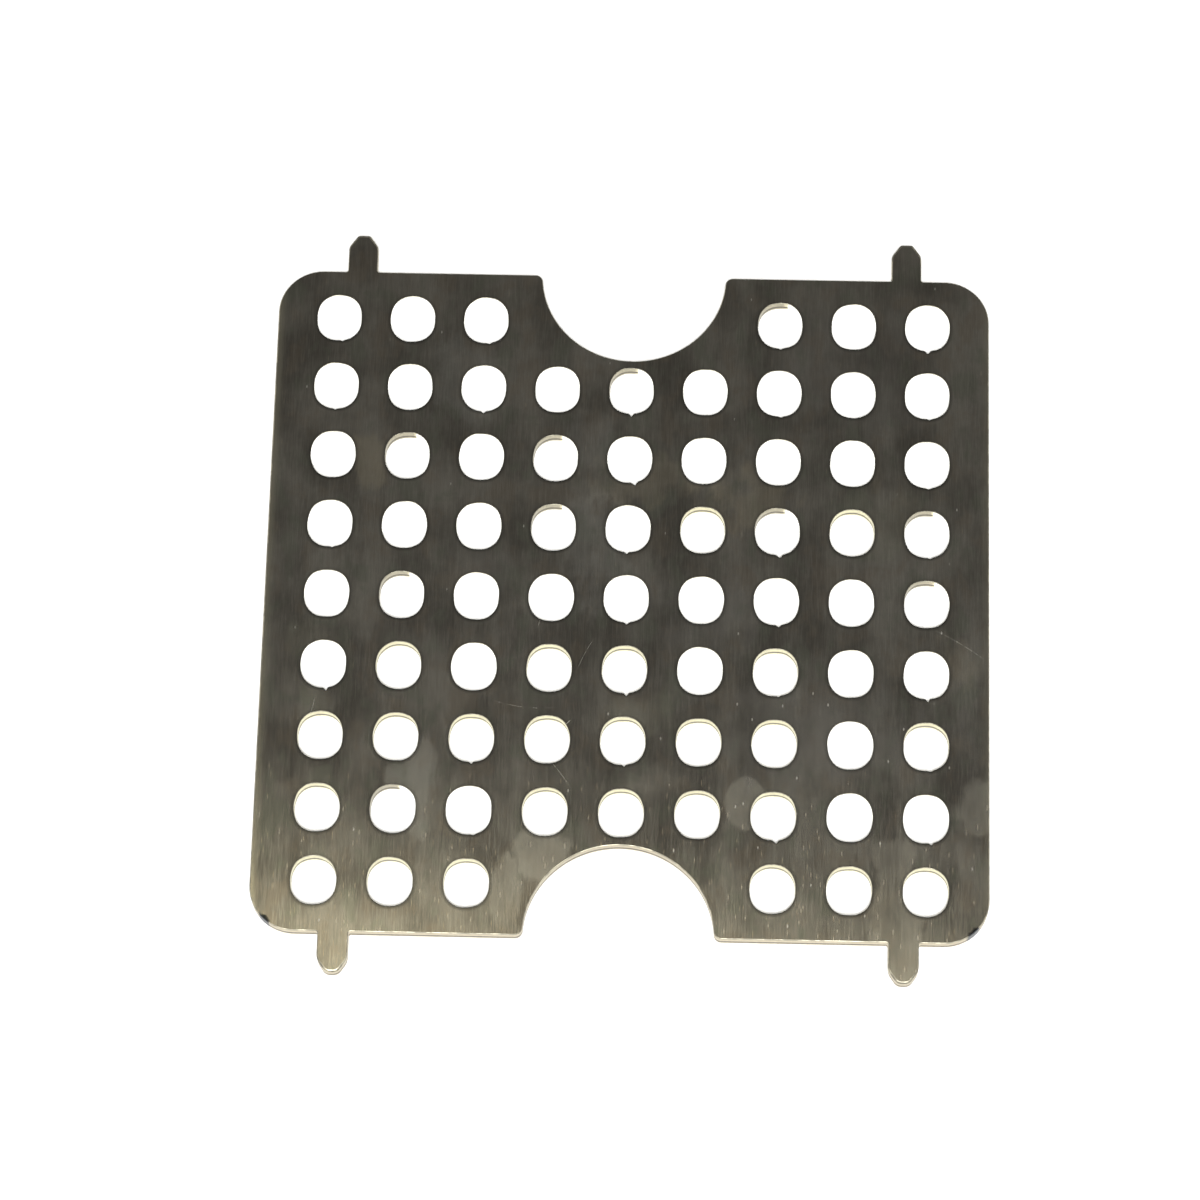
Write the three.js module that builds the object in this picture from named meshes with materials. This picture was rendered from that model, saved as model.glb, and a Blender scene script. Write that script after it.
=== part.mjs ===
// Queen excluder: one flat sheet of stainless steel that lies across a bee passage.
//
// A square pattern of passages lets workers through and holds the queen back. Each passage is a
// circle pressed in a little at its two sides. An arc notch is cut into the middle of both ends,
// and two narrow locating tabs stand out of each end, in the plane of the sheet. The tabs are part
// of the sheet, so the object is a single piece.
//
// Millimetres. +Z is the sheet's normal, towards the brushed face; +Y runs along the tabs and along
// the brushing; the origin is the middle of the back face.

import * as THREE from 'three';

// Sheet
const SHEET_WIDTH = 77.3;
const SHEET_LENGTH = 75.0;
const SHEET_THICKNESS = 1.5;
const CORNER_RADIUS = 4.8;

// Passages
const PASSAGE_WIDTH = 4.8;
const PASSAGE_LENGTH = 5.3;
const PASSAGE_FULLNESS = 2.3;
const PASSAGE_PITCH = 8.0;
const LEAST_MARGIN = 2.5;
const LEAST_NOTCH_WEB = 0.7;

// Notches
const NOTCH_RADIUS = 10.0;
const NOTCH_MOUTH_RADIUS = 0.8;

// Tabs
const TAB_WIDTH = 3.2;
const TAB_LENGTH = 4.4;
const TAB_TIP_WIDTH = 1.3;
const TAB_CHAMFER_LENGTH = 1.4;
const TAB_INSET = 8.95;

// Steps round each arc
const PASSAGE_STEPS = 20;
const CORNER_STEPS = 8;
const NOTCH_STEPS = 36;
const MOUTH_STEPS = 4;

const HALF_WIDTH = SHEET_WIDTH / 2;
const HALF_LENGTH = SHEET_LENGTH / 2;

/** Points along an arc, both ends included. */
function arcPoints(x, y, radius, start, end, clockwise, steps) {
  return new THREE.EllipseCurve(x, y, radius, radius, start, end, clockwise).getPoints(steps);
}

/** One tab, from its left foot round its chamfered tip to its right foot. */
function tabPoints(middle) {
  const half = TAB_WIDTH / 2;
  const halfTip = TAB_TIP_WIDTH / 2;
  const foot = -HALF_LENGTH;
  const tip = foot - TAB_LENGTH;
  const shoulder = tip + TAB_CHAMFER_LENGTH;
  return [
    new THREE.Vector2(middle - half, foot),
    new THREE.Vector2(middle - half, shoulder),
    new THREE.Vector2(middle - halfTip, tip),
    new THREE.Vector2(middle + halfTip, tip),
    new THREE.Vector2(middle + half, shoulder),
    new THREE.Vector2(middle + half, foot),
  ];
}

/** The arc notch, centred on the end edge, with a small round at each side of its mouth. */
function notchPoints() {
  const reach = NOTCH_RADIUS + NOTCH_MOUTH_RADIUS;
  const dip = Math.asin(NOTCH_MOUTH_RADIUS / reach);
  const mouthX = reach * Math.cos(dip);
  const mouthY = -HALF_LENGTH + NOTCH_MOUTH_RADIUS;
  const left = arcPoints(-mouthX, mouthY, NOTCH_MOUTH_RADIUS, -Math.PI / 2, -dip, false, MOUTH_STEPS);
  const arc = arcPoints(0, -HALF_LENGTH, NOTCH_RADIUS, Math.PI - dip, dip, true, NOTCH_STEPS);
  const right = arcPoints(mouthX, mouthY, NOTCH_MOUTH_RADIUS, Math.PI + dip, 1.5 * Math.PI, false, MOUTH_STEPS);
  return [...left, ...arc.slice(1), ...right.slice(1)];
}

/** The -Y end, from the side edge at -X round both corners to the side edge at +X. */
function endPoints() {
  const cornerX = HALF_WIDTH - CORNER_RADIUS;
  const cornerY = -HALF_LENGTH + CORNER_RADIUS;
  const tabX = HALF_WIDTH - TAB_INSET;
  return [
    ...arcPoints(-cornerX, cornerY, CORNER_RADIUS, Math.PI, 1.5 * Math.PI, false, CORNER_STEPS),
    ...tabPoints(-tabX),
    ...notchPoints(),
    ...tabPoints(tabX),
    ...arcPoints(cornerX, cornerY, CORNER_RADIUS, 1.5 * Math.PI, 2 * Math.PI, false, CORNER_STEPS),
  ];
}

/** Middles of a centred row of passages of one size that keeps the least margin to both edges. */
function rowPlaces(span, passageSize) {
  const room = span - passageSize - 2 * LEAST_MARGIN;
  const gaps = Math.floor(room / PASSAGE_PITCH);
  return Array.from({ length: gaps + 1 }, (_, index) => (index - gaps / 2) * PASSAGE_PITCH);
}

/** True where a passage leaves enough metal between itself and the nearer notch. */
function clearsNotch(x, y) {
  const toNotch = Math.hypot(x, HALF_LENGTH - Math.abs(y));
  return toNotch >= NOTCH_RADIUS + PASSAGE_LENGTH / 2 + LEAST_NOTCH_WEB;
}

/** Middles of all the passages. */
function passagePlaces() {
  const columns = rowPlaces(SHEET_WIDTH, PASSAGE_WIDTH);
  const rows = rowPlaces(SHEET_LENGTH, PASSAGE_LENGTH);
  return columns.flatMap((x) => rows.filter((y) => clearsNotch(x, y)).map((y) => [x, y]));
}

/** How far a passage's edge reaches along one axis: half its size, made fuller than an ellipse's. */
function passageReach(size, share) {
  return (size / 2) * Math.sign(share) * Math.abs(share) ** (2 / PASSAGE_FULLNESS);
}

/** One passage's edge: |x / half width| and |y / half length|, to the power of the fullness, make 1. */
function passagePath([x, y]) {
  const angles = Array.from({ length: PASSAGE_STEPS }, (_, index) => (2 * Math.PI * index) / PASSAGE_STEPS);
  const points = angles.map((angle) => new THREE.Vector2(
    x + passageReach(PASSAGE_WIDTH, Math.cos(angle)),
    y + passageReach(PASSAGE_LENGTH, Math.sin(angle)),
  ));
  return new THREE.Path(points);
}

/** The sheet, cut to its outline and pierced by the passages. */
function excluderSheet() {
  const end = endPoints();
  const otherEnd = end.map((point) => point.clone().negate());
  const outline = new THREE.Shape([...end, ...otherEnd]);
  outline.holes = passagePlaces().map(passagePath);
  const geometry = new THREE.ExtrudeGeometry(outline, { depth: SHEET_THICKNESS, bevelEnabled: false });
  const brushedSteel = new THREE.MeshStandardMaterial({ color: 0x6b665a, roughness: 0.35, metalness: 1.0 });
  const sheet = new THREE.Mesh(geometry, brushedSteel);
  sheet.name = 'excluder_sheet';
  return sheet;
}

const queenExcluder = new THREE.Group();
queenExcluder.add(excluderSheet());

export default queenExcluder;
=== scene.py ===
"""Queen excluder: a laser-cut sheet of brushed stainless steel, lying on a pale studio floor.

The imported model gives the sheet's box. This script builds the sheet again inside that box with its
fine shape: passages with the nick that each cut leaves, rounded rims, softened tabs. Lengths are
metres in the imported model's frame: +Z out of the brushed face, +Y along the tabs, and the origin in
the middle of the back face. Angles are radians, but for the camera's.
"""

from __future__ import annotations
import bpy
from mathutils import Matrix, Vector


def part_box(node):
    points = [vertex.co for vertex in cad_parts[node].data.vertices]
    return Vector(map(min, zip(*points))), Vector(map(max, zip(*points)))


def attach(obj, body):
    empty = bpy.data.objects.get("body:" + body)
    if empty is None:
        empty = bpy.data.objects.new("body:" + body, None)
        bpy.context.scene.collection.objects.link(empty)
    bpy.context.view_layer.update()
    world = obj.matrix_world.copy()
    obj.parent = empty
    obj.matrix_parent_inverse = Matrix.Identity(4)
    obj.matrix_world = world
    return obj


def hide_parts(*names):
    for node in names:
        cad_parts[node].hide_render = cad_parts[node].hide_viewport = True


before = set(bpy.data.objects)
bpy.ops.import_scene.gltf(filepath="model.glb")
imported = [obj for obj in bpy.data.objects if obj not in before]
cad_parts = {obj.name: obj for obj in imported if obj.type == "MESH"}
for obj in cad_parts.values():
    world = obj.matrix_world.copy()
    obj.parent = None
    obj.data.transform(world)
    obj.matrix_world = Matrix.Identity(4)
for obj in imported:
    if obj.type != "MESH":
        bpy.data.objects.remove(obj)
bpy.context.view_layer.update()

import logging
import math
from dataclasses import dataclass
from enum import Enum

import bpy
import numpy as np
from mathutils import Matrix, Vector
from mathutils.geometry import delaunay_2d_cdt

log = logging.getLogger("queen_excluder")

Socket = bpy.types.NodeSocket
Material = bpy.types.Material
Pair = tuple[float, float]
Triple = tuple[float, float, float]
Colour = Triple

MM = 0.001
NODE = "excluder_sheet"
BODY = "root"

# Point attributes that the finishes read: how much painted shade darkens the margins and rims, most
# where they face +Y, away from the key light, and how dull the walls.
PAINTED_SHADE = "painted_shade"
SOOT = "soot"

# Points round the front rim and round the back rim of the swept profile.
FRONT_ROWS = 6
BACK_ROWS = 4

# A colour Mix node's factor, two colours and result, by number, because their names repeat.
MIX_INPUTS = (0, 6, 7)
MIX_RESULT = 2

# Each passage's wall, as a letter of Wall, and the depth of its nick, in parts of NICK_PARTS, from
# the +Y row down; -- is no passage.
NICK_PARTS = 3
PASSAGE_MARKS = (
    ".1 .0 .1 -- -- -- h1 .0 .3",
    ".1 .0 .2 .0 h3 .0 .1 .0 .1",
    ".0 h0 .0 h0 .3 .0 .0 .0 .1",
    ".1 .0 .0 h0 .2 c0 h3 c0 h1",
    ".0 h0 .0 .0 .2 .0 .2 .0 h0",
    ".3 c0 .0 c0 c3 .0 c1 .0 .3",
    "c0 c0 c2 c0 c2 c0 c0 .0 c1",
    "c0 h0 .1 c0 c0 c0 c3 .0 .2",
    "c0 c0 c0 -- -- -- c0 c0 c0",
)


def mm(*lengths: float) -> tuple[float, ...]:
    """Lengths given in millimetres, in metres."""
    return tuple(length * MM for length in lengths)


class Wall(Enum):
    """How a passage's cut wall looks, as its letter in PASSAGE_MARKS."""

    POLISHED = "."
    SATIN = "c"
    HALF_SOOTY = "h"


class Skin(Enum):
    """Which finish a stretch of the sheet's surface has, as its material index."""

    FACE = 0
    RIM = 1
    CUT = 2


# ---------- outline curves


@dataclass
class Path:
    """Points in the sheet's plane and, at each, the unit normal that points out of the metal."""

    xy: np.ndarray
    out: np.ndarray

    def mirrored(self) -> Path:
        """The path reflected in the Y axis and walked backwards."""
        flip = np.array([-1.0, 1.0])
        return Path(self.xy[::-1] * flip, self.out[::-1] * flip)

    def half_turned(self) -> Path:
        """The path turned half round about the sheet's middle."""
        return Path(-self.xy, -self.out)

    def filled(self, step: float) -> Path:
        """The closed path with points added along each straight run, no further apart than step.

        Every gap of length l is cut into ceil(l / step) equal parts, by linear interpolation.

        Args:
            step: the longest gap to leave.

        Returns:
            The finer path.
        """
        ahead = np.roll(self.xy, -1, axis=0)
        ahead_out = np.roll(self.out, -1, axis=0)
        parts = np.maximum(np.ceil(np.linalg.norm(ahead - self.xy, axis=1) / step), 1).astype(int)
        start = np.repeat(np.arange(len(parts)), parts)
        first = np.repeat(np.cumsum(parts) - parts, parts)
        share = ((np.arange(parts.sum()) - first) / parts[start])[:, None]
        xy = self.xy[start] * (1 - share) + ahead[start] * share
        out = self.out[start] * (1 - share) + ahead_out[start] * share
        return Path(xy, out / np.linalg.norm(out, axis=1, keepdims=True))


def joined(*paths: Path) -> Path:
    """The paths end to end as one."""
    return Path(np.vstack([p.xy for p in paths]), np.vstack([p.out for p in paths]))


def arc(centre: Pair, radius: float, start: float, end: float, steps: int) -> Path:
    """An arc walked from one angle of its outward normal to another.

    Formula: point = centre + radius * (cos a, sin a). A negative radius is a hollow arc, with the
    metal outside it, so that the normal a points at the centre.

    Args:
        centre: the arc's centre.
        radius: its radius, negative where the arc is hollow.
        start: the normal's first angle, in radians.
        end: the normal's last angle.
        steps: the number of points.

    Returns:
        The arc's path.
    """
    angle = np.linspace(start, end, steps)
    out = np.stack([np.cos(angle), np.sin(angle)], axis=1)
    return Path(np.array(centre) + radius * out, out)


def rounded(corners: np.ndarray, radii: np.ndarray, steps: int) -> Path:
    """A chain of straight runs whose inner corners are rounded.

    Formula: with d0 and d1 the directions into and out of a corner and t the turn between them, the
    arc starts r * tan(|t| / 2) before the corner, its centre lies r to the metal's side on a left
    turn and r to the open side on a right turn, and its normal turns evenly from d0's to d1's.

    Args:
        corners: the chain's points, with the metal on its left; the first and last aren't rounded.
        radii: the radius at each inner corner.
        steps: the number of points round each corner.

    Returns:
        The chain's path, from its first point to its last.
    """
    runs = np.diff(corners, axis=0)
    along = runs / np.linalg.norm(runs, axis=1, keepdims=True)
    before, after = along[:-1], along[1:]
    cross = before[:, 0] * after[:, 1] - before[:, 1] * after[:, 0]
    turn = np.arctan2(cross, (before * after).sum(axis=1))
    signed = np.sign(turn) * radii
    start = corners[1:-1] - before * (radii * np.tan(np.abs(turn) / 2))[:, None]
    centre = start + np.stack([-before[:, 1], before[:, 0]], axis=1) * signed[:, None]
    angle = np.arctan2(-before[:, 0], before[:, 1])[:, None] + turn[:, None] * np.linspace(0, 1, steps)
    out = np.stack([np.cos(angle), np.sin(angle)], axis=2)
    xy = centre[:, None] + out * signed[:, None, None]
    ends = np.stack([along[[0, -1], 1], -along[[0, -1], 0]], axis=1)
    return Path(
        np.vstack([corners[:1], xy.reshape(-1, 2), corners[-1:]]),
        np.vstack([ends[:1], out.reshape(-1, 2), ends[1:]]),
    )


def next_round(loops: list[int]) -> np.ndarray:
    """The number of the next point round its own loop, for points numbered loop after loop."""
    start = np.repeat(np.cumsum(loops) - loops, loops)
    return start + (np.arange(len(start)) - start + 1) % np.repeat(loops, loops)


# ---------- shader maths


class Num:
    """A socket that carries a number; arithmetic on it adds Math nodes."""

    def __init__(self, nodes: Nodes, source: Socket) -> None:
        """Keeps the nodes it belongs to and where its value comes from."""
        self.nodes = nodes
        self.source = source

    def _math(self, operation: str, *values: Num | float) -> Num:
        """The result of one Math node."""
        return self.nodes.number("ShaderNodeMath", {"operation": operation}, *values)

    def __add__(self, other: Num | float) -> Num:
        """self + other."""
        return self._math("ADD", self, other)

    __radd__ = __add__

    def __mul__(self, other: Num | float) -> Num:
        """self * other."""
        return self._math("MULTIPLY", self, other)

    __rmul__ = __mul__

    def __sub__(self, other: Num | float) -> Num:
        """self - other."""
        return self._math("SUBTRACT", self, other)

    def __rsub__(self, other: Num | float) -> Num:
        """other - self."""
        return self._math("SUBTRACT", other, self)

    def __truediv__(self, other: Num | float) -> Num:
        """self / other."""
        return self._math("DIVIDE", self, other)

    def __pow__(self, other: Num | float) -> Num:
        """self ** other."""
        return self._math("POWER", self, other)

    def __abs__(self) -> Num:
        """abs(self)."""
        return self._math("ABSOLUTE", self)

    def least(self, other: Num | float) -> Num:
        """The smaller of the two."""
        return self._math("MINIMUM", self, other)

    def step(self, low: float, high: float) -> Num:
        """A smooth rise from 0 at low to 1 at high, or a fall where low is above high.

        Args:
            low: where the result is 0.
            high: where the result is 1.

        Returns:
            The smooth step, held to 0 to 1.
        """
        settings = {"interpolation_type": "SMOOTHSTEP", "clamp": True}
        if low <= high:
            return self.nodes.number("ShaderNodeMapRange", settings, self, low, high, 0.0, 1.0)
        return self.nodes.number("ShaderNodeMapRange", settings, self, high, low, 1.0, 0.0)


Tint = Socket | Colour
Value = Num | Tint | float


class Nodes:
    """A node tree, with the few kinds of node that the formulas need."""

    def __init__(self, tree: bpy.types.NodeTree) -> None:
        """Keeps the tree."""
        self.tree = tree

    def node(self, kind: str, settings: dict, *values: Value) -> bpy.types.Node:
        """Adds one node.

        Args:
            kind: the node's type.
            settings: its properties, set first.
            values: what goes into its sockets, in order.

        Returns:
            The node.
        """
        made = self.tree.nodes.new(kind)
        for key, value in settings.items():
            setattr(made, key, value)
        open_sockets = [s for s in made.inputs if s.enabled]
        for socket, value in zip(open_sockets, values):
            self.feed(socket, value)
        return made

    def feed(self, socket: Socket, value: Value) -> None:
        """Links a socket to a value's source, or sets it where the value is plain.

        Args:
            socket: the input to feed.
            value: what goes in.
        """
        source = value.source if isinstance(value, Num) else value
        if isinstance(source, Socket):
            self.tree.links.new(source, socket)
        else:
            socket.default_value = (*source, 1.0) if socket.type == "RGBA" else source

    def number(self, kind: str, settings: dict, *values: Value) -> Num:
        """A node whose first output is a number."""
        return Num(self, self.node(kind, settings, *values).outputs[0])

    def vector(self, x: Num, y: Num, z: Num | float) -> Socket:
        """A vector from three numbers."""
        return self.node("ShaderNodeCombineXYZ", {}, x, y, z).outputs[0]

    def mixed(self, share: Num, first: Tint, second: Tint) -> Socket:
        """Blends two colours.

        Args:
            share: 0 for the first, 1 for the second.
            first: the colour below.
            second: the colour on top.

        Returns:
            The blend.
        """
        made = self.tree.nodes.new("ShaderNodeMix")
        made.data_type = "RGBA"
        for number, value in zip(MIX_INPUTS, (share, first, second)):
            self.feed(made.inputs[number], value)
        return made.outputs[MIX_RESULT]


class Shader(Nodes):
    """One material's nodes, with patterns on object coordinates."""

    def __init__(self, name: str) -> None:
        """Makes the material, its Principled shader and the object coordinates."""
        self.material = bpy.data.materials.new(name)
        self.material.use_nodes = True
        super().__init__(self.material.node_tree)
        self.principled = self.tree.nodes["Principled BSDF"]
        place = self.node("ShaderNodeTexCoord", {}).outputs["Object"]
        split = self.node("ShaderNodeSeparateXYZ", {}, place)
        self.x, self.y, self.z = (Num(self, split.outputs[axis]) for axis in "XYZ")

    def noise(self, sizes: Triple, detail: float, rough: float = 0.5, shift: float = 0.0) -> Num:
        """Noise on object coordinates, centred on one half.

        Args:
            sizes: the length of one feature along X, Y and Z, in metres.
            detail: the number of finer layers.
            rough: how strong the finer layers are.
            shift: moves the pattern, so that two noises don't match.

        Returns:
            The noise, about 0.2 to 0.8.
        """
        axes = (self.x, self.y, self.z)
        scaled = self.vector(*(axis / size + shift for axis, size in zip(axes, sizes)))
        return self.number("ShaderNodeTexNoise", {"noise_dimensions": "3D"}, scaled, 1.0, detail, rough)

    def cells(self, sizes: Pair, shift: float = 0.0) -> tuple[Num, Num]:
        """Scattered points on object coordinates, the same at every height.

        Args:
            sizes: the spacing of the points along X and Y, in metres.
            shift: moves the pattern.

        Returns:
            The distance to the nearest point, in cells, and a random number for that point.
        """
        axes = (self.x, self.y)
        scaled = self.vector(*(axis / size + shift for axis, size in zip(axes, sizes)), 0.0)
        made = self.node("ShaderNodeTexVoronoi", {"voronoi_dimensions": "2D"}, scaled, 1.0)
        split = self.node("ShaderNodeSeparateColor", {}, made.outputs["Color"])
        return Num(self, made.outputs["Distance"]), Num(self, split.outputs[0])

    def away(self, point: Pair) -> Num:
        """The distance from a point of the XY plane."""
        return ((self.x - point[0]) ** 2.0 + (self.y - point[1]) ** 2.0) ** 0.5

    def attribute(self, name: str) -> Num:
        """One of the piece's own point attributes."""
        return Num(self, self.node("ShaderNodeAttribute", {"attribute_name": name}).outputs["Fac"])

    def bump(self, height: Num, strength: float, depth: float) -> Socket:
        """Bends the normal by a height.

        Args:
            height: the height, about 0 to 1.
            strength: the share of the effect.
            depth: how high 1 is, in metres.

        Returns:
            The normal.
        """
        made = self.tree.nodes.new("ShaderNodeBump")
        made.inputs["Strength"].default_value = strength
        made.inputs["Distance"].default_value = depth
        self.feed(made.inputs["Height"], height)
        return made.outputs[0]

    def dress(self, **sockets: Value) -> Material:
        """Feeds the Principled shader's sockets.

        Args:
            sockets: what goes into each, an underscore in its name standing for a space.

        Returns:
            The material.
        """
        for name, value in sockets.items():
            self.feed(self.principled.inputs[name.replace("_", " ")], value)
        return self.material


# ---------- finishes


@dataclass(frozen=True)
class Scratch:
    """A light scratch: the part of a circle's line that lies within reach of a middle point."""

    centre: Pair
    radius: float
    middle: Pair
    reach: float
    width: float = 0.06 * MM
    strength: float = 0.5


@dataclass(frozen=True)
class Smudge:
    """A patch left by handling: a tinted, slightly duller oval with a more or less ragged border."""

    middle: Pair
    reach: Pair
    strength: float
    tint: Colour
    ragged: float


STRAW = (0.72, 0.65, 0.49)
OLIVE = (0.62, 0.61, 0.47)
PALE = (0.80, 0.78, 0.69)
GREY = (0.76, 0.77, 0.73)
SLATE = (0.36, 0.345, 0.32)


@dataclass(frozen=True)
class PaintedCornerShadows:
    """A painted shadow: the dark spot at each corner of the -Y end."""

    middle: Pair
    reach: float = 1.2 * MM
    core: float = 0.9 * MM
    raggedness: float = 0.8 * MM
    colour: Colour = (0.055, 0.06, 0.065)

    def mask(self, s: Shader) -> Num:
        """Where the spots are: near either middle, with a ragged border.

        Args:
            s: the shader.

        Returns:
            1 inside a spot and 0 outside.
        """
        ragged = s.noise(mm(0.35, 0.35, 3), 3.0, 0.6, shift=13.0) - 0.5
        out = ((abs(s.x) - self.middle[0]) ** 2.0 + (s.y - self.middle[1]) ** 2.0) ** 0.5
        return (out + ragged * self.raggedness).step(self.reach, self.core)

    def over(self, s: Shader, colour: Tint) -> Tint:
        """A colour with the spots on it."""
        return s.mixed(self.mask(s), colour, self.colour)


@dataclass(frozen=True)
class BrushedFace:
    """Steel brushed along Y: tinted in patches, smudged and scratched, with painted sheen and glints
    towards the -Y end and a painted highlight beside the side edges.
    """

    half_width: float
    corner_shadows: PaintedCornerShadows
    dark: Colour = (0.40, 0.385, 0.35)
    light: Colour = (0.68, 0.66, 0.60)
    warm: Colour = (0.60, 0.53, 0.44)
    green: Colour = (0.50, 0.54, 0.45)
    # Bright flecks and scratches, and the painted sheen on the grain's lighter streaks.
    mark_and_sheen: Colour = (0.95, 0.93, 0.85)
    # Warm colour of the painted glints on the brush strokes.
    stroke_glint: Colour = (1.0, 0.88, 0.66)
    # Colour of the painted highlight beside the side edges.
    brightened: Colour = (1.0, 0.97, 0.80)
    painted_shade_margin: Colour = (0.20, 0.20, 0.19)
    roughness: float = 0.21
    fine_grain: Triple = mm(0.10, 2.2, 5)
    coarse_grain: Triple = mm(0.4, 22, 5)
    band_size: Triple = mm(2.6, 45, 20)
    patch_size: Triple = mm(8, 10, 20)
    tint_size: Triple = mm(3.2, 4.5, 20)
    fleck_spacing: Pair = mm(0.8, 1.9)
    stroke_spacing: Pair = mm(0.20, 1.5)
    short_spacing: Pair = mm(0.16, 0.6)
    # Where the painted sheen and glints rise, from nothing to full, towards the -Y end.
    near_end: Pair = mm(-16, -38)
    scratches: tuple[Scratch, ...] = (
        Scratch(mm(-9, 3), 15.5 * MM, mm(-10.5, -12.4), 4.0 * MM, strength=0.35),
        Scratch(mm(4, -24), 14.0 * MM, mm(-7, -15.2), 3.2 * MM, 0.09 * MM, 0.6),
        Scratch(mm(-20, -30), 17.0 * MM, mm(-8, -18), 4.5 * MM),
        Scratch(mm(14, -20), 16.0 * MM, mm(-1.3, -15), 2.6 * MM, 0.08 * MM, 0.45),
        Scratch(mm(12, -14), 18.0 * MM, mm(-4.5, -6.5), 2.6 * MM, strength=0.45),
        Scratch(mm(14, -9), 24.0 * MM, mm(-8.5, -2), 2.0 * MM, strength=0.4),
        Scratch(mm(-50, -9), 17.5 * MM, mm(-33.5, -14), 3.0 * MM, strength=0.35),
        Scratch(mm(20, -30), 30.0 * MM, mm(35.5, -4.5), 3.5 * MM, 0.1 * MM, 0.3),
    )
    smudges: tuple[Smudge, ...] = (
        Smudge(mm(13, -22.7), mm(2.5, 3.1), 0.55, PALE, 0.55),
        Smudge(mm(37.6, -22.8), mm(4, 3.4), 0.5, PALE, 1.2),
        Smudge(mm(-8.2, -28.4), mm(3.6, 3.4), 0.6, PALE, 1.2),
        Smudge(mm(-11.8, -33), mm(1.8, 4.5), 0.4, PALE, 1.2),
        Smudge(mm(-22, -21), mm(3.2, 6.5), 0.4, GREY, 1.4),
        Smudge(mm(3.5, -20), mm(4, 2.2), 0.3, PALE, 2.2),
        Smudge(mm(-18.5, 25), mm(4.5, 6.5), 0.32, GREY, 1.8),
        Smudge(mm(-28, 15.5), mm(2.2, 4.2), 0.5, STRAW, 1.6),
        Smudge(mm(-4.5, 18.5), mm(3, 5), 0.25, GREY, 1.8),
        Smudge(mm(3, 13.5), mm(9, 3.4), 0.40, STRAW, 2.4),
        Smudge(mm(12, 12), mm(6, 4.5), 0.45, STRAW, 2.4),
        Smudge(mm(27.5, 10), mm(5, 6), 0.26, OLIVE, 2.2),
        Smudge(mm(-4, 5), mm(4.5, 8), 0.3, GREY, 2.2),
        Smudge(mm(-33, -6), mm(3.5, 9), 0.25, OLIVE, 2.2),
        Smudge(mm(35, -6.5), mm(2.6, 4), 0.32, STRAW, 2.2),
        Smudge(mm(2.5, -13), mm(4, 3), 0.3, OLIVE, 2.2),
        Smudge(mm(8, -1.5), mm(8, 5), 0.6, SLATE, 2.2),
        Smudge(mm(-16, 3.5), mm(3.5, 4.5), 0.45, SLATE, 2.2),
        Smudge(mm(22, -15), mm(15, 7), 0.6, SLATE, 2.0),
        Smudge(mm(29, -36), mm(3.2, 13), 0.42, PALE, 1.2),
        Smudge(mm(24, 26), mm(12, 8), 0.4, SLATE, 2.2),
    )

    def scratch_mask(self, s: Shader) -> Num:
        """Where the scratches are: near each circle's line, within reach of its middle.

        Args:
            s: the shader.

        Returns:
            The sum of the scratches' strengths, broken up along them.
        """
        total: Num | float = 0.0
        for item in self.scratches:
            line = abs(s.away(item.centre) - item.radius).step(item.width, 0.0)
            near = s.away(item.middle).step(item.reach, item.reach * 0.6)
            total = line * near * item.strength + total
        return total * s.noise(mm(0.8, 0.8, 9), 2.0, shift=9.0).step(0.3, 0.55)

    def smudged(self, s: Shader, colour: Tint) -> tuple[Tint, Num]:
        """Tints a colour where the smudges are, and gives the sum of their masks.

        Each mask is 1 - (x / a)^2 - (y / b)^2 plus noise, and it rises from its border over the
        smudge's own softness.

        Args:
            s: the shader.
            colour: the colour under the smudges.

        Returns:
            The tinted colour and the total mask.
        """
        ragged = (s.noise(mm(3, 5, 9), 5.0, 0.62, shift=4.0) - 0.5) * 2.0
        total: Num | float = 0.0
        for item in self.smudges:
            across = (s.x - item.middle[0]) / item.reach[0]
            along = (s.y - item.middle[1]) / item.reach[1]
            oval = 1.0 - across ** 2.0 - along ** 2.0
            mask = (ragged * item.ragged + oval).step(0.0, 0.1 + 0.4 * item.ragged) * item.strength
            colour = s.mixed(mask, colour, item.tint)
            total = mask + total
        return colour, total

    def ticks(self, s: Shader, sizes: Pair, share: Num, shift: float) -> Num:
        """Short strokes of the brush, one in each cell whose random number is below share."""
        distance, pick = s.cells(sizes, shift)
        return distance.step(0.34, 0.10) * (share - pick).step(0.0, 0.02)

    def grain(self, s: Shader) -> Num:
        """The brushing: fine and coarse streaks along Y.

        Args:
            s: the shader.

        Returns:
            The grain, about one half.
        """
        fine = s.noise(self.fine_grain, 2.0, 0.6)
        coarse = s.noise(self.coarse_grain, 3.0, 0.6, shift=7.0)
        return fine * 0.74 + coarse * 0.26

    def shade(self, s: Shader) -> Num:
        """How light the steel is: broad patches and long bands.

        Args:
            s: the shader.

        Returns:
            The shade, about one half.
        """
        bands = s.noise(self.band_size, 2.0, 0.5, shift=17.0)
        patches = s.noise(self.patch_size, 5.0, 0.58, shift=2.0)
        return (patches - 0.5) * 1.25 + (bands - 0.5) * 0.4 + 0.5

    def steel(self, s: Shader, shade: Num) -> Tint:
        """The bare steel: dark to light with the shade, tinted warm or green in patches.

        Args:
            s: the shader.
            shade: how light the steel is.

        Returns:
            The colour.
        """
        tint = s.noise(self.tint_size, 4.0, 0.6, shift=11.0)
        colour = s.mixed(shade.step(0.28, 0.72), self.dark, self.light)
        colour = s.mixed(tint.step(0.5, 0.64) * 0.5, colour, self.warm)
        return s.mixed(tint.step(0.48, 0.36) * 0.55, colour, self.green)

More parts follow.
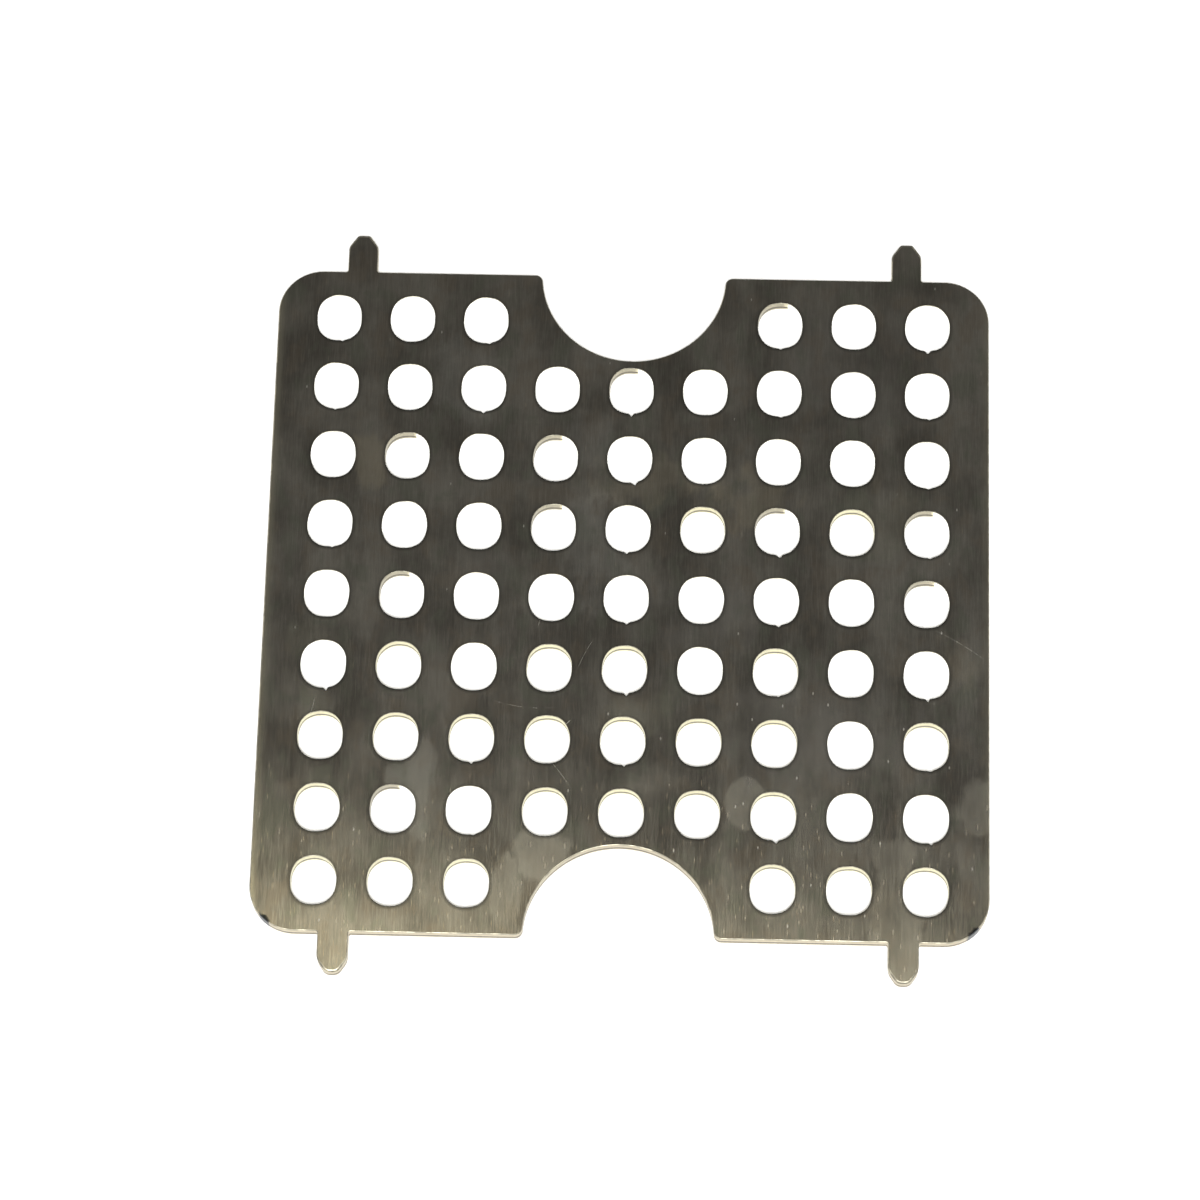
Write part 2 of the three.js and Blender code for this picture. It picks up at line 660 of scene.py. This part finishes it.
    def flecks(self, s: Shader) -> Num:
        """Bright specks, denser towards the corner at +X and -Y.

        Args:
            s: the shader.

        Returns:
            1 at a speck and 0 elsewhere.
        """
        distance, pick = s.cells(self.fleck_spacing, shift=3.0)
        density = s.y.step(20 * MM, -40 * MM) * s.x.step(-20 * MM, 30 * MM) * 0.06 + 0.012
        return distance.step(0.13, 0.04) * (density - pick).step(0.0, 0.01)

    def edge_band(self, s: Shader) -> Num:
        """A painted highlight beside the two side edges, stronger at -X than at +X."""
        side = (abs(s.x) / self.half_width).step(0.962, 1.0)
        return side ** 2.0 * (s.x.step(self.half_width, -self.half_width) * 0.5 + 0.5)

    def made(self) -> Material:
        """Makes the finish, from the bare steel up to the marks on it.

        Returns:
            The material.
        """
        s = Shader("brushed_face")
        near = s.y.step(*self.near_end)
        grain = self.grain(s)
        shade = self.shade(s)
        strokes = self.ticks(s, self.stroke_spacing, near * 0.13 + 0.012, 21.0)
        short = self.ticks(s, self.short_spacing, near * 0.08 + 0.008, 27.0)
        marks = (self.flecks(s) * 0.55 + self.scratch_mask(s)).least(1.0)
        colour = self.steel(s, shade)
        # The grain's lighter streaks, with painted sheen that strengthens them towards the -Y end.
        colour = s.mixed(grain.step(0.40, 0.68) * (near * 0.2 + 0.22), colour, self.mark_and_sheen)
        colour, smudges = self.smudged(s, colour)
        # Painted glints: brush strokes in a warm bright colour, more of them towards the -Y end.
        colour = s.mixed((strokes * 0.46 + short * 0.36).least(0.7), colour, self.stroke_glint)
        # Painted highlight: a bright band beside the two side edges, stronger at -X.
        colour = s.mixed(self.edge_band(s) * 0.85, colour, self.brightened)
        colour = s.mixed(marks, colour, self.mark_and_sheen)
        # Painted shade: the margins round the passages darken where they face +Y, away from the key
        # light.
        colour = s.mixed(s.attribute(PAINTED_SHADE) * 0.9, colour, self.painted_shade_margin)
        # Painted shadows at the two corners of the -Y end.
        colour = self.corner_shadows.over(s, colour)
        rough = (grain - 0.5) * 0.06 + (shade - 0.5) * 0.05 + smudges * 0.06
        rough = rough + (marks + strokes * 0.3) * 0.2 + self.roughness
        normal = s.bump(grain, 0.15, 0.003 * MM)
        return s.dress(Base_Color=colour, Metallic=1.0, Roughness=rough, Normal=normal)


@dataclass(frozen=True)
class RolledRim:
    """The rounded rim between face and cut: burnished in places, and darkened with painted shade where
    it faces +Y, away from the key light.
    """

    corner_shadows: PaintedCornerShadows
    burnished: Colour = (0.60, 0.56, 0.43)
    dull: Colour = (0.30, 0.28, 0.22)
    rim_shade: Colour = (0.04, 0.037, 0.033)
    roughness: float = 0.5

    def made(self) -> Material:
        """Makes the finish.

        Returns:
            The material.
        """
        s = Shader("rolled_rim")
        brightened = s.noise(mm(1.3, 1.3, 4), 4.0, 0.65, shift=6.0)
        colour = s.mixed(brightened.step(0.42, 0.62), self.dull, self.burnished)
        # Painted shade on the stretches of rim that face +Y, away from the key light.
        colour = s.mixed(s.attribute(PAINTED_SHADE), colour, self.rim_shade)
        # Painted shadows at the two corners of the -Y end.
        colour = self.corner_shadows.over(s, colour)
        return s.dress(Base_Color=colour, Metallic=1.0, Roughness=(0.5 - brightened) * 0.4 + self.roughness)


@dataclass(frozen=True)
class CutEdge:
    """The bare edge left by the cut: polished, satin, tan or sooty, with a brown line round it.

    Each span of soot is where the wall turns from one finish to the next.
    """

    corner_shadows: PaintedCornerShadows
    polished: Colour = (0.98, 0.98, 0.93)
    satin: Colour = (0.68, 0.65, 0.45)
    straw: Colour = (0.56, 0.52, 0.37)
    tan: Colour = (0.50, 0.44, 0.32)
    sooty: Colour = (0.34, 0.315, 0.23)
    scorched: Colour = (0.10, 0.085, 0.06)
    to_satin: Pair = (0.15, 0.40)
    to_tan: Pair = (0.60, 0.72)
    to_sooty: Pair = (0.82, 0.96)
    roughness: float = 0.20
    satin_roughness: float = 0.18
    line_heights: Pair = mm(0.32, 0.68)

    def made(self) -> Material:
        """Makes the finish.

        Returns:
            The material.
        """
        s = Shader("cut_edge")
        stripes = s.noise(mm(0.16, 0.16, 4), 3.0, 0.6)
        blotches = s.noise(mm(1.6, 1.6, 1), 3.0, shift=5.0)
        soot = s.attribute(SOOT) + (blotches - 0.5) * 0.12
        low, high = self.line_heights
        edge = s.z + (stripes - 0.5) * (0.12 * MM)
        line = edge.step(low * 0.8, low * 1.2) * edge.step(high * 1.1, high * 0.9)
        satin = s.mixed(blotches.step(0.35, 0.65) * 0.6, self.satin, self.straw)
        satin = s.mixed(stripes.step(0.5, 0.7) * 0.3, satin, self.straw)
        colour = s.mixed(soot.step(*self.to_satin), self.polished, satin)
        colour = s.mixed(soot.step(*self.to_tan), colour, self.tan)
        colour = s.mixed(soot.step(*self.to_sooty), colour, self.sooty)
        colour = s.mixed(line * soot.step(*self.to_satin), colour, self.scorched)
        # Painted shadows at the two corners of the -Y end.
        colour = self.corner_shadows.over(s, colour)
        rough = (stripes - 0.5) * 0.3 + soot.step(0.0, 0.4) * self.satin_roughness + self.roughness
        normal = s.bump(stripes, 0.5, 0.03 * MM)
        return s.dress(Base_Color=colour, Metallic=0.85, Roughness=rough, Normal=normal)


@dataclass(frozen=True)
class PaleFloor:
    """A plain pale matt floor."""

    colour: Colour = (0.90, 0.90, 0.89)

    def made(self) -> Material:
        """The material."""
        return Shader("pale_floor").dress(Base_Color=self.colour, Roughness=0.9)


# ---------- the sheet


@dataclass(frozen=True)
class RimWear:
    """A stretch of the outline whose front rim is rounded more than the rest."""

    middle: Pair
    reach: Pair
    extra: float


@dataclass
class ExcluderSheet:
    """The sheet: outline with tabs and notches, passages with their nicks, and rounded rims."""

    tab_length: float = 4.4 * MM
    tab_width: float = 3.2 * MM
    tab_tip_width: float = 1.3 * MM
    tab_chamfer_length: float = 1.4 * MM
    tab_inset: float = 8.95 * MM
    tab_tip_radii: Pair = mm(0.95, 0.45)
    tab_shoulder_radii: Pair = mm(1.8, 1.2)
    tab_foot_radius: float = 0.25 * MM
    corner_radius: float = 4.8 * MM
    notch_radius: float = 10.0 * MM
    notch_mouth_radius: float = 0.8 * MM
    passage_width: float = 4.8 * MM
    passage_length: float = 5.3 * MM
    passage_fullness: float = 2.3
    passage_pitch: float = 8.0 * MM
    passage_taper: float = 0.02 * MM
    passage_waver: float = 0.018 * MM
    least_margin: float = 2.5 * MM
    least_notch_web: float = 0.7 * MM
    nick_depth: float = 0.34 * MM
    nick_half_width: float = 0.17 * MM
    rim: float = 0.08 * MM
    passage_rim: float = 0.05 * MM
    back_rim: float = 0.05 * MM
    margin: float = 0.10 * MM
    # Width of the face margin round each passage that carries the painted shade.
    painted_shade_width: float = 0.38 * MM
    nick_angle: float = 0.09 - math.pi / 2
    nick_angle_spread: float = 0.07
    nick_sharpness: Pair = (0.8, 1.3)
    nick_crowding: float = 0.7
    waver_counts: tuple[int, ...] = (3, 4, 6, 9)
    corner_shadow_angle: float = math.radians(49.0)
    corner_shadow_radius: float = 5.45 * MM
    outline_step: float = 0.8 * MM
    corner_steps: int = 14
    lip_steps: int = 8
    bowl_steps: int = 56
    passage_steps: int = 72
    seed: int = 75

    def __post_init__(self) -> None:
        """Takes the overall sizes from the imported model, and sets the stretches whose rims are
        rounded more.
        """
        low, high = (np.array(corner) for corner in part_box(NODE))
        self.thickness = float(high[2] - low[2])
        self.half_width = float(high[0] - low[0]) / 2
        self.half_length = float(high[1] - low[1]) / 2 - self.tab_length
        self.random = np.random.default_rng(self.seed)
        tab_x = self.half_width - self.tab_inset
        tip_y = self.half_length + self.tab_length
        tips = [(side * tab_x, end * tip_y) for side in (-1, 1) for end in (-1, 1)]
        self.wears = (
            RimWear((-self.half_width, 0.0), mm(1.5, 60), 0.05 * MM),
            RimWear((self.half_width, 0.0), mm(1.5, 50), 0.03 * MM),
            *(RimWear(tip, mm(4, 1.6), 0.16 * MM) for tip in tips),
        )

    def end(self, tip_radius: float, shoulder_radius: float) -> Path:
        """The outline of the -Y end, from the middle of the -X edge to just short of the +X one's.

        Args:
            tip_radius: the round at the corners of the tabs' tips.
            shoulder_radius: the round where the tabs begin to narrow.

        Returns:
            The end's path, with the metal on its left.
        """
        width, length = self.half_width, -self.half_length
        tab_x = self.tab_inset - width
        tip = length - self.tab_length
        shoulder = tip + self.tab_chamfer_length
        half, half_tip = self.tab_width / 2, self.tab_tip_width / 2
        reach = self.notch_radius + self.notch_mouth_radius
        dip = math.asin(self.notch_mouth_radius / reach)
        mouth = (-reach * math.cos(dip), length + self.notch_mouth_radius)
        corners = np.array([
            (-width, 0.0),
            (-width, length),
            (tab_x - half, length),
            (tab_x - half, shoulder),
            (tab_x - half_tip, tip),
            (tab_x + half_tip, tip),
            (tab_x + half, shoulder),
            (tab_x + half, length),
            (mouth[0] - self.notch_mouth_radius, length),
        ])
        tab = [self.tab_foot_radius, shoulder_radius, tip_radius]
        radii = np.array([self.corner_radius, *tab, *tab[::-1]])
        chain = rounded(corners, radii, self.corner_steps)
        lip = arc(mouth, self.notch_mouth_radius, -math.pi / 2, -dip, self.lip_steps)
        bowl = arc((0.0, length), -self.notch_radius, -dip, -math.pi / 2, self.bowl_steps)
        left = joined(chain, lip, Path(bowl.xy[1:], bowl.out[1:]))
        right = left.mirrored()
        return joined(left, Path(right.xy[1:-1], right.out[1:-1]))

    def outline(self) -> Path:
        """The sheet's outline, counterclockwise: the -Y end, then the +Y end half turned."""
        near, far = (self.end(*radii) for radii in zip(self.tab_tip_radii, self.tab_shoulder_radii))
        return joined(near, far.half_turned()).filled(self.outline_step)

    def row_places(self, half_span: float, passage_size: float) -> np.ndarray:
        """Middles of a centred row of passages that keeps the least margin at both ends.

        Args:
            half_span: half the sheet's size along the row.
            passage_size: a passage's size along the row.

        Returns:
            The middles, one pitch apart.
        """
        room = 2 * (half_span - self.least_margin) - passage_size
        gaps = math.floor(room / self.passage_pitch)
        return (np.arange(gaps + 1) - gaps / 2) * self.passage_pitch

    def passage_places(self) -> np.ndarray:
        """Finds the passages that leave the least web between themselves and the notches.

        Returns:
            Their middles, row after row from -Y.
        """
        columns = self.row_places(self.half_width, self.passage_width)
        rows = self.row_places(self.half_length, self.passage_length)
        places = np.stack(np.meshgrid(columns, rows), axis=2).reshape(-1, 2)
        to_notch = np.hypot(places[:, 0], self.half_length - np.abs(places[:, 1]))
        return places[to_notch >= self.notch_radius + self.passage_length / 2 + self.least_notch_web]

    def passage_marks(self) -> tuple[np.ndarray, np.ndarray]:
        """Reads each passage's marks from the table.

        Returns:
            Its kind of wall, as a letter of Wall, and the share of the full nick that it has.
        """
        table = np.array([row.split() for row in PASSAGE_MARKS[::-1]])
        cell = np.rint(self.passage_places() / self.passage_pitch).astype(int) + len(table) // 2
        marks = table[cell[:, 1] % len(table), cell[:, 0] % len(table)]
        letters, parts = marks.view("<U1").reshape(-1, 2).T
        return letters, parts.astype(float) / NICK_PARTS

    def passages(self) -> tuple[Path, np.ndarray]:
        """The passages' edges, and the far side of the painted-shade margin round each.

        Each is one array, with an axis for the passage.

        Formula: with a and b the half width and half length and n the fullness, the plain edge is
        r(t) = (|cos t / a|^n + |sin t / b|^n)^(-1/n). To it are added a nick, d * exp(-(s b / w)^2)
        of depth d and half width w at the angle t0 where the cut began, s being t - t0, and a
        waver, the sum of a few cosines of whole numbers of t. The angle runs as t = t0 + u - c
        sin(u), which crowds the points at the nick. The normal out of the metal is minus the
        curve's own, (r cos t + r' sin t, r sin t - r' cos t) over its length, r' being the slope.

        Returns:
            The edges, walked clockwise, so that the metal is on the left, and the margin's ring.
        """
        places = self.passage_places()
        count = len(places)
        draw = self.random
        a, b, n = self.passage_width / 2, self.passage_length / 2, self.passage_fullness
        depth = self.nick_depth * self.passage_marks()[1][:, None]
        begin = draw.normal(self.nick_angle, self.nick_angle_spread, (count, 1))
        sharpness = b / (self.nick_half_width * draw.uniform(*self.nick_sharpness, (count, 1)))
        u = -np.linspace(0.0, 2 * math.pi, self.passage_steps, endpoint=False)
        swing = u - self.nick_crowding * np.sin(u)
        wrapped = (swing + math.pi) % (2 * math.pi) - math.pi
        angle = begin + swing
        cos, sin = np.cos(angle), np.sin(angle)
        across, along = np.abs(cos) / a, np.abs(sin) / b
        total = across ** n + along ** n
        radius = total ** (-1 / n)
        turning = along ** (n - 1) * cos * np.sign(sin) / b - across ** (n - 1) * sin * np.sign(cos) / a
        slope = -radius / total * turning
        ring = radius + self.passage_rim + self.painted_shade_width
        nick = depth * np.exp(-((wrapped * sharpness) ** 2))
        waves = np.array(self.waver_counts)
        phase = draw.uniform(0.0, 2 * math.pi, (count, 1, len(waves))) + angle[..., None] * waves
        radius = radius + nick + self.passage_waver * (np.cos(phase) / waves ** 0.5).sum(axis=2)
        slope = slope - 2 * nick * wrapped * sharpness ** 2
        slope -= self.passage_waver * (np.sin(phase) * waves ** 0.5).sum(axis=2)
        normal = -np.stack([radius * cos + slope * sin, radius * sin - slope * cos], axis=2)
        normal /= np.linalg.norm(normal, axis=2, keepdims=True)
        around = np.stack([cos, sin], axis=2)
        middles = places[:, None]
        return Path(middles + radius[..., None] * around, normal), middles + ring[..., None] * around

    def rim_widths(self, path: Path) -> np.ndarray:
        """The front rim's radius: the plain one, and a bell of extra rounding at each RimWear stretch.

        Args:
            path: the outline.

        Returns:
            The radius at each point.
        """
        widths = np.full(len(path.xy), self.rim)
        for edge_band in self.wears:
            away = (path.xy - np.array(edge_band.middle)) / np.array(edge_band.reach)
            widths += edge_band.extra * np.exp(-(away ** 2).sum(axis=1))
        return widths

    def swept(
        self, path: Path, widths: np.ndarray, ring: np.ndarray, taper: float
    ) -> tuple[np.ndarray, np.ndarray]:
        """Carries the rim's profile along closed edges.

        Formula: the profile crosses the front face's margin from its ring, goes over a quarter round
        of radius w, down the wall and round the back rim of radius b. At angle a on the front round
        the inset is w (1 - sin a) and the depth w (1 - cos a), and the normal is out * sin a + up *
        cos a. The taper then moves each point out of the metal by its share of the depth.

        Args:
            path: the edges, with any number of leading axes.
            widths: the front rim's radius at each point of the path.
            ring: the far side of the front face's margin, one point for each of the path's.
            taper: how far the wall leans out of the metal from front to back.

        Returns:
            Points and normals, with the profile as a new axis before the last.
        """
        front = np.linspace(0.0, math.pi / 2, FRONT_ROWS)
        back = np.linspace(math.pi / 2, math.pi, BACK_ROWS)
        lean = np.concatenate([front[:1], front, back])
        w = widths[..., None]
        b = np.full_like(w, self.back_rim)
        inset = np.concatenate([w * (1 - np.sin(front)), b * (1 - np.sin(back))], axis=-1)
        high = self.thickness - w * (1 - np.cos(front))
        low = b * (1 + np.cos(back))
        height = np.concatenate([high[..., :1], high, low], axis=-1)
        inset -= taper * (1 - height[..., 1:] / self.thickness)
        sin, cos = np.sin(lean)[:, None], np.cos(lean)
        flat = path.xy[..., None, :] - path.out[..., None, :] * inset[..., None]
        flat = np.concatenate([ring[..., None, :], flat], axis=-2)
        points = np.concatenate([flat, height[..., None]], axis=-1)
        level = np.broadcast_to(cos[:, None], (*height.shape, 1))
        normals = np.concatenate([path.out[..., None, :] * sin, level], axis=-1)
        return points, normals

    def build(self) -> bpy.types.Object:
        """Builds the mesh: a swept rim along every edge, and the two flat faces between them.

        Returns:
            The piece.
        """
        outline = self.outline()
        rims = self.rim_widths(outline)
        inner = outline.xy - outline.out * (rims + self.margin)[:, None]
        edge, edge_normals = self.swept(outline, rims, inner, 0.0)
        passages, painted_shade_margin = self.passages()
        bore_rims = np.full(passages.xy.shape[:2], self.passage_rim)
        bores, bore_normals = self.swept(passages, bore_rims, painted_shade_margin, self.passage_taper)
        rows = edge.shape[1]
        loops = [len(edge)] + [bores.shape[1]] * len(bores)
        points = np.vstack([edge.reshape(-1, 3), bores.reshape(-1, 3)])
        normals = np.vstack([edge_normals.reshape(-1, 3), bore_normals.reshape(-1, 3)])
        walls, skins = self.walls(loops, rows)
        front = self.fill(points[::rows], loops) * rows
        back = self.fill(points[rows - 1::rows], loops)[:, ::-1] * rows + rows - 1
        skins = np.concatenate([skins, np.full(len(front) + len(back), Skin.FACE.value)])
        mesh = bpy.data.meshes.new("excluder_sheet_fine")
        mesh.from_pydata(points, [], [*walls.tolist(), *front.tolist(), *back.tolist()])
        mesh.polygons.foreach_set("use_smooth", np.ones(len(mesh.polygons), bool))
        mesh.polygons.foreach_set("material_index", skins.astype(np.int32))
        for name, values in self.cut_marks(outline, passages, rows).items():
            mesh.attributes.new(name, "FLOAT", "POINT").data.foreach_set("value", values)
        mesh.validate()
        mesh.normals_split_custom_set_from_vertices(normals)
        piece = bpy.data.objects.new("brushed_excluder_sheet", mesh)
        bpy.context.scene.collection.objects.link(piece)
        return piece

    @staticmethod
    def walls(loops: list[int], rows: int) -> tuple[np.ndarray, np.ndarray]:
        """The quads between each point's profile and the next one's, and the skin of each.

        Args:
            loops: how many points each edge has.
            rows: the number of points across the profile.

        Returns:
            Quads of point numbers, and their material indices.
        """
        here = np.arange(sum(loops))[:, None] * rows + np.arange(rows - 1)
        ahead = next_round(loops)[:, None] * rows + np.arange(rows - 1)
        quads = np.stack([here, here + 1, ahead + 1, ahead], axis=2).reshape(-1, 4)
        row = np.arange(rows - 1)
        skin = np.select([row < 1, row < FRONT_ROWS], [Skin.FACE.value, Skin.RIM.value], Skin.CUT.value)
        return quads, np.broadcast_to(skin, here.shape).ravel()

    def cut_marks(self, outline: Path, passages: Path, rows: int) -> dict[str, np.ndarray]:
        """How the cut has marked each point.

        Formula: PAINTED_SHADE is painted shade on the face's margins and rims, darkest where they face
        +Y,
        away from the key light: with n the Y part of the normal out of the metal, 0.72 + 0.38 n at a
        passage and 0.3 + 0.35 n at the outline, held to 0 to 1.
        It is nothing at a margin's far side, at the back face, and on the face beside the outline.
        SOOT is how dull the cut wall is: 0 polished, 0.5 satin, 0.75 tan, 1 sooty. The outline is tan,
        and duller in the notches. A passage is satin or polished all round, or sooty on its -X half
        only, from where the normal's X part passes -0.24.

        Args:
            outline: the sheet's outline.
            passages: the passages' edges.
            rows: the number of points across the profile.

        Returns:
            Each attribute's values, in the mesh's order.
        """
        inner = np.ones(rows)
        inner[[0, -1]] = 0.0
        rim_only = inner.copy()
        rim_only[1] = 0.0
        # Painted shade, darker where the normal out of the metal points +Y, away from the key light.
        at_passages = np.clip(0.72 + 0.38 * passages.out[..., 1], 0.0, 1.0)[..., None] * inner
        at_outline = np.clip(0.3 + 0.35 * outline.out[..., 1], 0.0, 1.0)[..., None] * rim_only
        kinds = self.passage_marks()[0][:, None]
        half = np.clip((passages.out[..., 0] + 0.24) / 0.08, 0.0, 0.92)
        wall_is = [kinds == kind.value for kind in (Wall.SATIN, Wall.HALF_SOOTY)]
        walls = np.select(wall_is, [0.5, half], 0.0)
        to_notch = np.hypot(outline.xy[:, 0], self.half_length - np.abs(outline.xy[:, 1]))
        rest = np.where(to_notch < self.notch_radius + 0.5 * self.notch_mouth_radius, 0.86, 0.75)
        return {
            PAINTED_SHADE: np.concatenate([at_outline.ravel(), at_passages.ravel()]),
            SOOT: np.repeat(np.concatenate([rest, walls.ravel()]), rows),
        }

    def corner_shadows(self) -> PaintedCornerShadows:
        """Places the painted corner shadows, centred just outside the corners at the -Y end.

        Returns:
            The marks.
        """
        x = self.half_width - self.corner_radius + self.corner_shadow_radius * math.cos(self.corner_shadow_angle)
        y = self.half_length - self.corner_radius + self.corner_shadow_radius * math.sin(self.corner_shadow_angle)
        return PaintedCornerShadows((x, -y))

    @staticmethod
    def fill(points: np.ndarray, loops: list[int]) -> np.ndarray:
        """Triangles of the flat face between the outline's inner rim and the passages' rims.

        A Delaunay triangulation keeps every rim edge. Every rim is walked with the metal on its left,
        so a triangle with all its corners on one rim lies in the metal only if its corners follow
        each other round in the rim's own order.

        Args:
            points: the rims' points, loop after loop.
            loops: how many points each loop has.

        Returns:
            Triangles of point numbers, counterclockwise from the front.
        """
        loop = np.repeat(np.arange(len(loops)), loops)
        edges = np.stack([np.arange(len(points)), next_round(loops)], axis=1)
        flat = [Vector(p) for p in points[:, :2].tolist()]
        triangles = np.array(delaunay_2d_cdt(flat, edges.tolist(), [], 0, 1e-9)[2])
        following = np.roll(triangles, -1, axis=1)
        against = np.prod(np.sign(following - triangles), axis=1) > 0
        own = (loop[triangles] == loop[triangles[:, :1]]).all(axis=1)
        return triangles[~(own & against)]

    def dress(self, piece: bpy.types.Object) -> None:
        """Gives the piece its finishes, in the order of Skin, and its place in the frame.

        Args:
            piece: the sheet's object.
        """
        corner_shadows = self.corner_shadows()
        for finish in (BrushedFace(self.half_width, corner_shadows), RolledRim(corner_shadows), CutEdge(corner_shadows)):
            piece.data.materials.append(finish.made())
        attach(piece, BODY)
        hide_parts(NODE)
        log.info("%s: %d faces", piece.name, len(piece.data.polygons))


# ---------- studio and camera


@dataclass(frozen=True)
class Panel:
    """A soft light panel that faces the sheet's middle."""

    name: str
    place: Triple
    size: Pair
    power: float
    colour: Colour = (1.0, 1.0, 1.0)

    def build(self) -> None:
        """Makes the light."""
        light = bpy.data.lights.new(self.name, "AREA")
        light.shape = "RECTANGLE"
        light.size, light.size_y = self.size
        light.energy = self.power
        light.color = self.colour
        made = bpy.data.objects.new(self.name, light)
        made.location = self.place
        made.rotation_euler = (-Vector(self.place)).to_track_quat("-Z", "Y").to_euler()
        bpy.context.scene.collection.objects.link(made)


@dataclass
class Studio:
    """The floor, the light and the plain surroundings."""

    floor_half: float = 0.3
    floor_gap: float = 0.05 * MM
    surroundings: Colour = (0.068, 0.063, 0.054)
    backdrop: Colour = (1.0, 1.0, 1.0)
    panels: tuple[Panel, ...] = (
        Panel("key_panel", (0.02, -0.42, 0.97), (0.26, 0.26), 16.5),
        Panel("left_panel", (-0.75, 0.05, 0.45), (0.5, 0.8), 1.5),
        Panel("right_panel", (0.75, 0.05, 0.45), (0.5, 0.8), 1.0),
        Panel("near_strip", (-0.002, -0.013, 0.14), (0.16, 0.02), 0.0125, (1.0, 0.9, 0.62)),
    )

    def build(self) -> None:
        """Makes the floor, the panels and the world."""
        h, z = self.floor_half, -self.floor_gap
        mesh = bpy.data.meshes.new("floor")
        mesh.from_pydata([(-h, -h, z), (h, -h, z), (h, h, z), (-h, h, z)], [], [(0, 1, 2, 3)])
        floor = bpy.data.objects.new("floor", mesh)
        bpy.context.scene.collection.objects.link(floor)
        floor.data.materials.append(PaleFloor().made())
        for panel in self.panels:
            panel.build()
        self.surround()
        bpy.context.scene.view_settings.view_transform = "Standard"

    def surround(self) -> None:
        """Makes the world: dim around the sheet, and pale where nothing else is behind it."""
        world = bpy.data.worlds.new("surroundings")
        world.use_nodes = True
        nodes = Nodes(world.node_tree)
        seen = Num(nodes, nodes.node("ShaderNodeLightPath", {}).outputs["Is Camera Ray"])
        colour = nodes.mixed(seen, self.surroundings, self.backdrop)
        nodes.feed(nodes.tree.nodes["Background"].inputs["Color"], colour)
        bpy.context.scene.world = world


@dataclass(frozen=True)
class Viewpoint:
    """A long lens that looks down on the sheet from the -Y side.

    It stands at distance from its aim, tilted from straight down, turned about Z and rolled about
    its own line of sight, all in degrees. The lens and the sensor are in millimetres.
    """

    aim: Pair = mm(-2.80, -0.19)
    distance: float = 533.7 * MM
    turn: float = 3.457
    tilt: float = 20.29
    roll: float = -2.136
    lens: float = 150.15
    sensor: float = 36.0

    def build(self, height: float) -> None:
        """Makes the camera, aimed at a point of the sheet's front face.

        Args:
            height: the front face's height.
        """
        turned = Matrix.Rotation(math.radians(self.turn), 3, "Z")
        tilted = Matrix.Rotation(math.radians(self.tilt), 3, "X")
        rolled = Matrix.Rotation(math.radians(self.roll), 3, "Z")
        stand = turned @ tilted @ rolled
        data = bpy.data.cameras.new("camera")
        data.lens, data.sensor_width = self.lens, self.sensor
        data.clip_start = 10 * MM
        camera = bpy.data.objects.new("camera", data)
        camera.location = Vector((*self.aim, height)) + stand.col[2] * self.distance
        camera.rotation_euler = stand.to_euler()
        bpy.context.scene.collection.objects.link(camera)
        bpy.context.scene.camera = camera


def main() -> None:
    """Builds the camera, the sheet and the studio."""
    logging.basicConfig(level=logging.INFO, format="%(name)s: %(message)s")
    sheet = ExcluderSheet()
    Viewpoint().build(sheet.thickness)
    sheet.dress(sheet.build())
    Studio().build()


if __name__ == "__main__":
    main()
